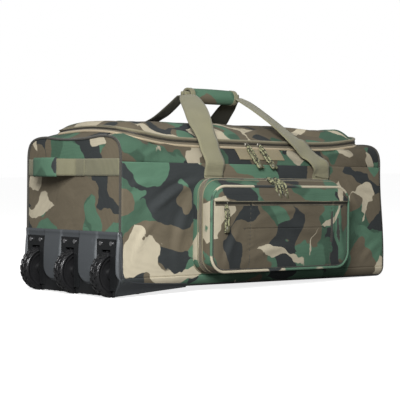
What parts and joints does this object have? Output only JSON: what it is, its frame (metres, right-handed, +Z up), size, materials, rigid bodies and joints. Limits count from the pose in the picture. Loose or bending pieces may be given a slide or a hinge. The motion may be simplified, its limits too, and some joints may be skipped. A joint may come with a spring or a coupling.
{
  "type": "rolling duffel bag",
  "caption": "Rolling duffel bag in woodland camouflage with a hinged zip lid, a zip front pocket, joined carry handles and wheels under one end.",
  "frame": {"origin": "on the ground, at the middle of the footprint of the whole object", "axes": "+X from the wheel end to the far end, +Y from the pocket side to the back, +Z up; the bag rests on its wheels and its far bottom edge, so its own length leans by 1.30 degrees"},
  "size_m": [0.8654, 0.4124, 0.4459],
  "materials": {
    "camo_fabric": "woven polyester with a four-colour woodland print",
    "webbing": "ribbed polypropylene webbing",
    "piping": "woven binding",
    "zip_tape": "woven tape with nylon coil teeth",
    "patch_cloth": "plain woven patch",
    "base_board": "ribbed board",
    "housing_plastic": "satin moulded plastic with a fine grain",
    "bracket_black": "satin black",
    "hub_plastic": "glossy moulded plastic",
    "tyre_rubber": "glossy knobbly tread",
    "rivet_steel": "polished",
    "slider_metal": "antiqued metal",
    "pull_cord": "braided cord with moulded ends"
  },
  "bodies": {
    "bag": {"front_panel": "camo_fabric", "back_panel": "camo_fabric", "base_panel": "camo_fabric", "wheel_end_panel": "camo_fabric", "far_end_panel": "camo_fabric", "front_shoulder": "camo_fabric", "back_shoulder": "camo_fabric", "end_decks": "camo_fabric", "end_piping": "piping", "base_board": "base_board", "body_zip_tape": "zip_tape", "body_zip_piping": "piping", "end_webbing_band": "webbing", "end_grab_handle": "webbing", "end_grab_wrap": "camo_fabric", "far_end_handle": "webbing", "front_anchor_straps": "webbing", "back_anchor_straps": "webbing", "blank_patch": "patch_cloth", "pocket_rear_gusset": "camo_fabric", "pocket_rear_piping": "piping", "pocket_zip_tape": "zip_tape", "wheel_housing": "housing_plastic", "bracket_rivets": "rivet_steel", "wheel_bracket_1": "bracket_black", "wheel_bracket_2": "bracket_black", "wheel_bracket_3": "bracket_black", "wheel_axle_1": "rivet_steel", "wheel_axle_2": "rivet_steel", "wheel_axle_3": "rivet_steel"},
    "wheel_1": {"wheel_hub_1": "hub_plastic", "wheel_tyre_1": "tyre_rubber", "wheel_bearings_1": "rivet_steel"},
    "wheel_2": {"wheel_hub_2": "hub_plastic", "wheel_tyre_2": "tyre_rubber", "wheel_bearings_2": "rivet_steel"},
    "wheel_3": {"wheel_hub_3": "hub_plastic", "wheel_tyre_3": "tyre_rubber", "wheel_bearings_3": "rivet_steel"},
    "lid": {"lid_panel": "camo_fabric", "lid_piping": "piping", "lid_zip_tape": "zip_tape"},
    "front_handle": {"front_handle_straps": "webbing", "grip_wrap": "camo_fabric"},
    "back_handle": {"back_handle_straps": "webbing"},
    "pocket_flap": {"pocket_front_shell": "camo_fabric", "pocket_face_piping": "piping", "face_zip_tape": "zip_tape"},
    "main_slider_left": {"main_slider_left": "slider_metal"},
    "main_slider_right": {"main_slider_right": "slider_metal"},
    "pocket_slider_left": {"pocket_slider_left": "slider_metal"},
    "pocket_slider_right": {"pocket_slider_right": "slider_metal"},
    "face_slider": {"face_slider": "slider_metal"},
    "main_pull_left": {"main_pull_left": "pull_cord"},
    "main_pull_right": {"main_pull_right": "pull_cord"},
    "pocket_pull_left": {"pocket_pull_left": "pull_cord"},
    "pocket_pull_right": {"pocket_pull_right": "pull_cord"},
    "face_pull": {"face_pull": "pull_cord"}
  },
  "joints": [
    {"name": "wheel_spin_1", "type": "hinge", "parent": "bag", "child": "wheel_1", "pos_m": [-0.38371, -0.09845, 0.049], "axis": [0, 1, 0], "continuous": true},
    {"name": "wheel_spin_2", "type": "hinge", "parent": "bag", "child": "wheel_2", "pos_m": [-0.38371, 0.02855, 0.049], "axis": [0, 1, 0], "continuous": true},
    {"name": "wheel_spin_3", "type": "hinge", "parent": "bag", "child": "wheel_3", "pos_m": [-0.38371, 0.15555, 0.049], "axis": [0, 1, 0], "continuous": true},
    {"name": "lid_hinge", "type": "hinge", "parent": "bag", "child": "lid", "pos_m": [0.00442, 0.16255, 0.31609], "axis": [-0.9997, 0, 0.0226], "range_deg": [0, 100]},
    {"name": "front_handle_fold", "type": "hinge", "parent": "bag", "child": "front_handle", "pos_m": [0.00299, -0.14165, 0.25281], "axis": [0.9997, 0, -0.0226], "range_deg": [0, 100]},
    {"name": "back_handle_fold", "type": "hinge", "parent": "bag", "child": "back_handle", "pos_m": [0.00299, 0.19875, 0.25281], "axis": [-0.9997, 0, 0.0226], "range_deg": [0, 155]},
    {"name": "pocket_flap_hinge", "type": "hinge", "parent": "bag", "child": "pocket_flap", "pos_m": [-0.00181, -0.1666, 0.04036], "axis": [0.9997, 0, -0.0226], "range_deg": [0, 75]},
    {"name": "main_slider_left_travel", "type": "slide", "parent": "bag", "child": "main_slider_left", "axis": [-0.9997, 0, 0.0226], "range_m": [0, 0.285]},
    {"name": "main_slider_right_travel", "type": "slide", "parent": "bag", "child": "main_slider_right", "axis": [0.9997, 0, -0.0226], "range_m": [0, 0.285]},
    {"name": "pocket_slider_left_travel", "type": "slide", "parent": "pocket_flap", "child": "pocket_slider_left", "axis": [-0.9997, 0, 0.0226], "range_m": [0, 0.14]},
    {"name": "pocket_slider_right_travel", "type": "slide", "parent": "pocket_flap", "child": "pocket_slider_right", "axis": [0.9997, 0, -0.0226], "range_m": [0, 0.17]},
    {"name": "face_slider_travel", "type": "slide", "parent": "pocket_flap", "child": "face_slider", "axis": [0.9997, 0, -0.0226], "range_m": [0, 0.36]},
    {"name": "main_pull_left_swing", "type": "hinge", "parent": "main_slider_left", "child": "main_pull_left", "pos_m": [-0.01562, -0.11325, 0.31455], "axis": [-0.9997, 0, 0.0226], "range_deg": [0, 120]},
    {"name": "main_pull_right_swing", "type": "hinge", "parent": "main_slider_right", "child": "main_pull_right", "pos_m": [0.02137, -0.11325, 0.31371], "axis": [-0.9997, 0, 0.0226], "range_deg": [0, 120]},
    {"name": "pocket_pull_left_swing", "type": "hinge", "parent": "pocket_slider_left", "child": "pocket_pull_left", "pos_m": [-0.01129, -0.17602, 0.24063], "axis": [-0.9997, 0, 0.0226], "range_deg": [0, 100]},
    {"name": "pocket_pull_right_swing", "type": "hinge", "parent": "pocket_slider_right", "child": "pocket_pull_right", "pos_m": [0.00871, -0.17602, 0.24017], "axis": [-0.9997, 0, 0.0226], "range_deg": [0, 100]},
    {"name": "face_pull_swing", "type": "hinge", "parent": "face_slider", "child": "face_pull", "pos_m": [-0.16149, -0.20395, 0.18901], "axis": [-0.9997, 0, 0.0226], "range_deg": [0, 120]}
  ],
  "couplings": [
    {"joint": "front_handle_fold", "follows": "lid_hinge", "ratio": 1},
    {"joint": "back_handle_fold", "follows": "lid_hinge", "ratio": 1.55}
  ]
}
